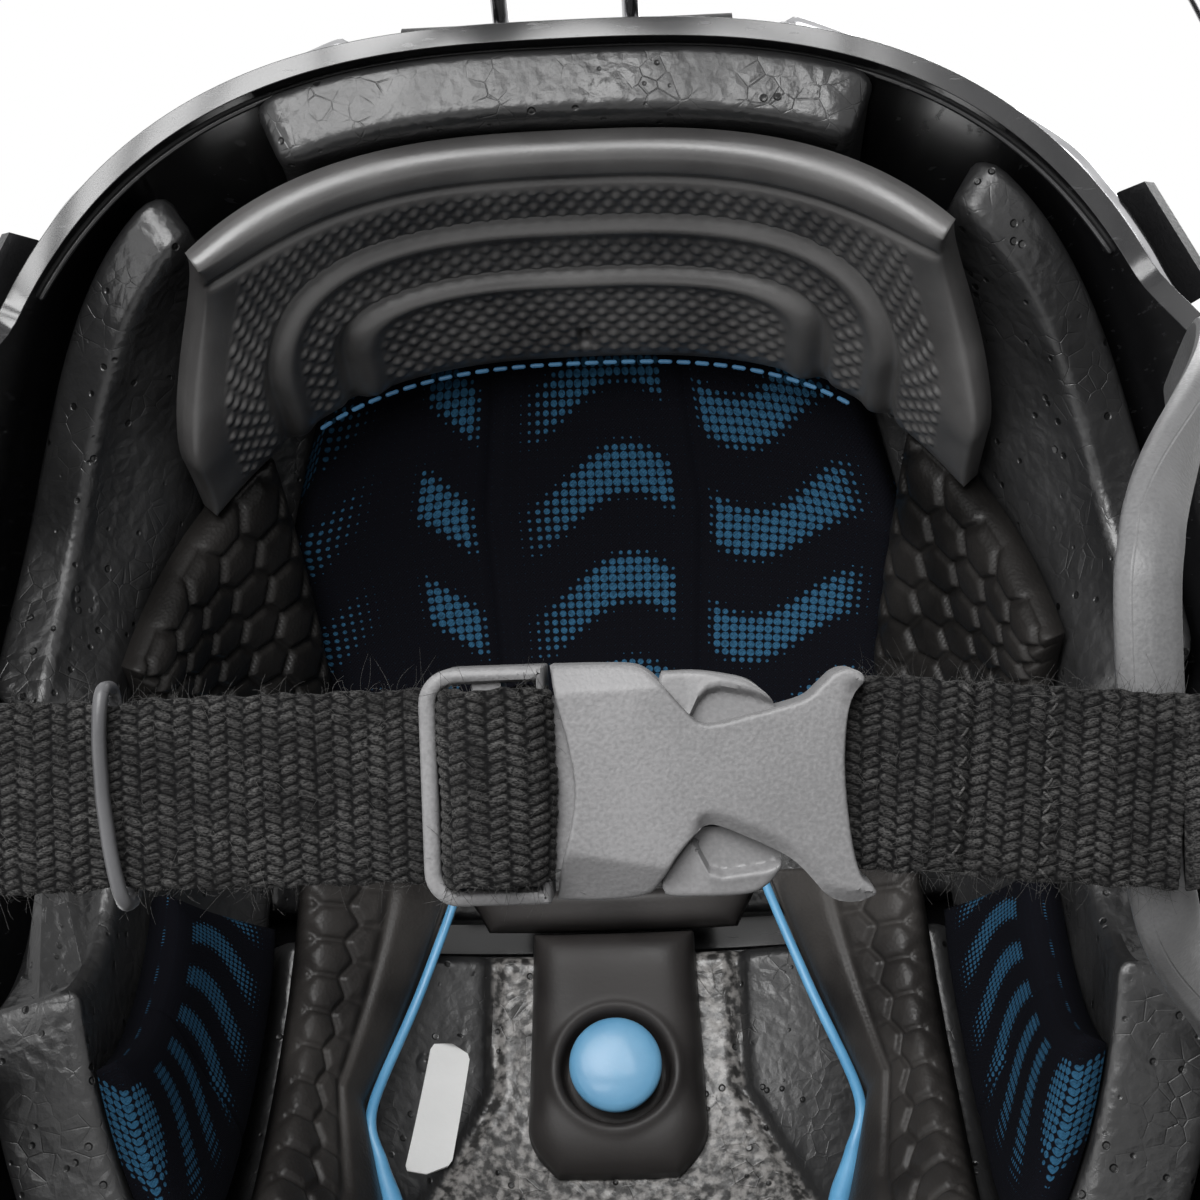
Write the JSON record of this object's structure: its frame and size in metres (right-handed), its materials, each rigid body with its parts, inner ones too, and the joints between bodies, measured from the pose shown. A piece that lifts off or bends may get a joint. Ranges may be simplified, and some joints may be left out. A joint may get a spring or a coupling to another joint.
{
  "type": "hockey helmet",
  "caption": "Hockey helmet with a hinged wire face cage, foam liner, ear loops and a buckled chin strap.",
  "frame": {"origin": "middle of the head opening, level with the brow rim", "axes": "+Z to the crown, -Y to the face, +X to the wearer's left"},
  "size_m": [0.2188, 0.3122, 0.2363],
  "materials": {
    "shell": "gloss",
    "foam": "beaded foam",
    "pad": "matte, embossed",
    "print": "fabric, blue dots",
    "accent": "satin",
    "hardware": "satin",
    "loops": "fine grain",
    "wire": "bright",
    "webbing": "woven",
    "keeper": "matte",
    "buckle": "fine grain"
  },
  "bodies": {
    "helmet": {"front_shell": "shell", "front_foam": "foam", "crown_foam": "foam", "side_foam_left": "foam", "side_foam_right": "foam", "forehead_pad": "pad", "crown_pad": "print", "temple_pad_left": "pad", "temple_pad_right": "pad", "ear_pad_left": "print", "ear_pad_right": "print", "size_screws": "hardware", "ear_loop_left": "loops", "ear_loop_right": "loops", "ear_loop_screws": "hardware", "pivot_clips": "shell", "pivot_clip_screws": "hardware", "side_clip_left": "shell", "side_clip_right": "shell", "side_clip_screws": "hardware", "strap_left": "webbing", "strap_right": "webbing", "strap_left_end": "webbing", "strap_anchors": "hardware", "buckle_female": "buckle"},
    "rear_half": {"rear_shell": "shell", "rear_foam": "foam", "rear_wing_left": "pad", "rear_wing_right": "pad", "rear_tab": "pad", "rear_disc": "accent", "rear_crossbar": "pad"},
    "cage": {"cage_pivot_wire": "wire", "cage_frame": "wire", "cage_cross_bars": "wire", "cage_uprights": "wire", "chin_cup": "pad"},
    "buckle_male": {"buckle_ladder": "buckle"},
    "prong_front": {"buckle_prong_front": "buckle"},
    "prong_rear": {"buckle_prong_rear": "buckle"},
    "keeper": {"keeper_ring": "keeper"}
  },
  "joints": [
    {"name": "cage_pivot", "type": "hinge", "parent": "helmet", "child": "cage", "pos_m": [0, -0.09504, 0.026], "axis": [-1, 0, 0], "range_deg": [0, 110]},
    {"name": "rear_half_slide", "type": "slide", "parent": "helmet", "child": "rear_half", "axis": [0, 1, 0], "range_m": [0, 0.01]},
    {"name": "keeper_slide", "type": "slide", "parent": "helmet", "child": "keeper", "axis": [1, 0, 0], "range_m": [-0.008, 0.008]},
    {"name": "buckle_release", "type": "slide", "parent": "helmet", "child": "buckle_male", "axis": [-1, 0, 0], "range_m": [0, 0.02], "deforming": ["strap_left_end", "buckle_prong_front", "buckle_prong_rear"]},
    {"name": "prong_front_squeeze", "type": "hinge", "parent": "buckle_male", "child": "prong_front", "pos_m": [0.0033, 0.0114, -0.1014], "axis": [0, 0, 1], "range_deg": [0, 6], "stiffness_Nm_per_rad": 0.05},
    {"name": "prong_rear_squeeze", "type": "hinge", "parent": "buckle_male", "child": "prong_rear", "pos_m": [0.0033, 0.0258, -0.1014], "axis": [0, 0, -1], "range_deg": [0, 6], "stiffness_Nm_per_rad": 0.05}
  ]
}
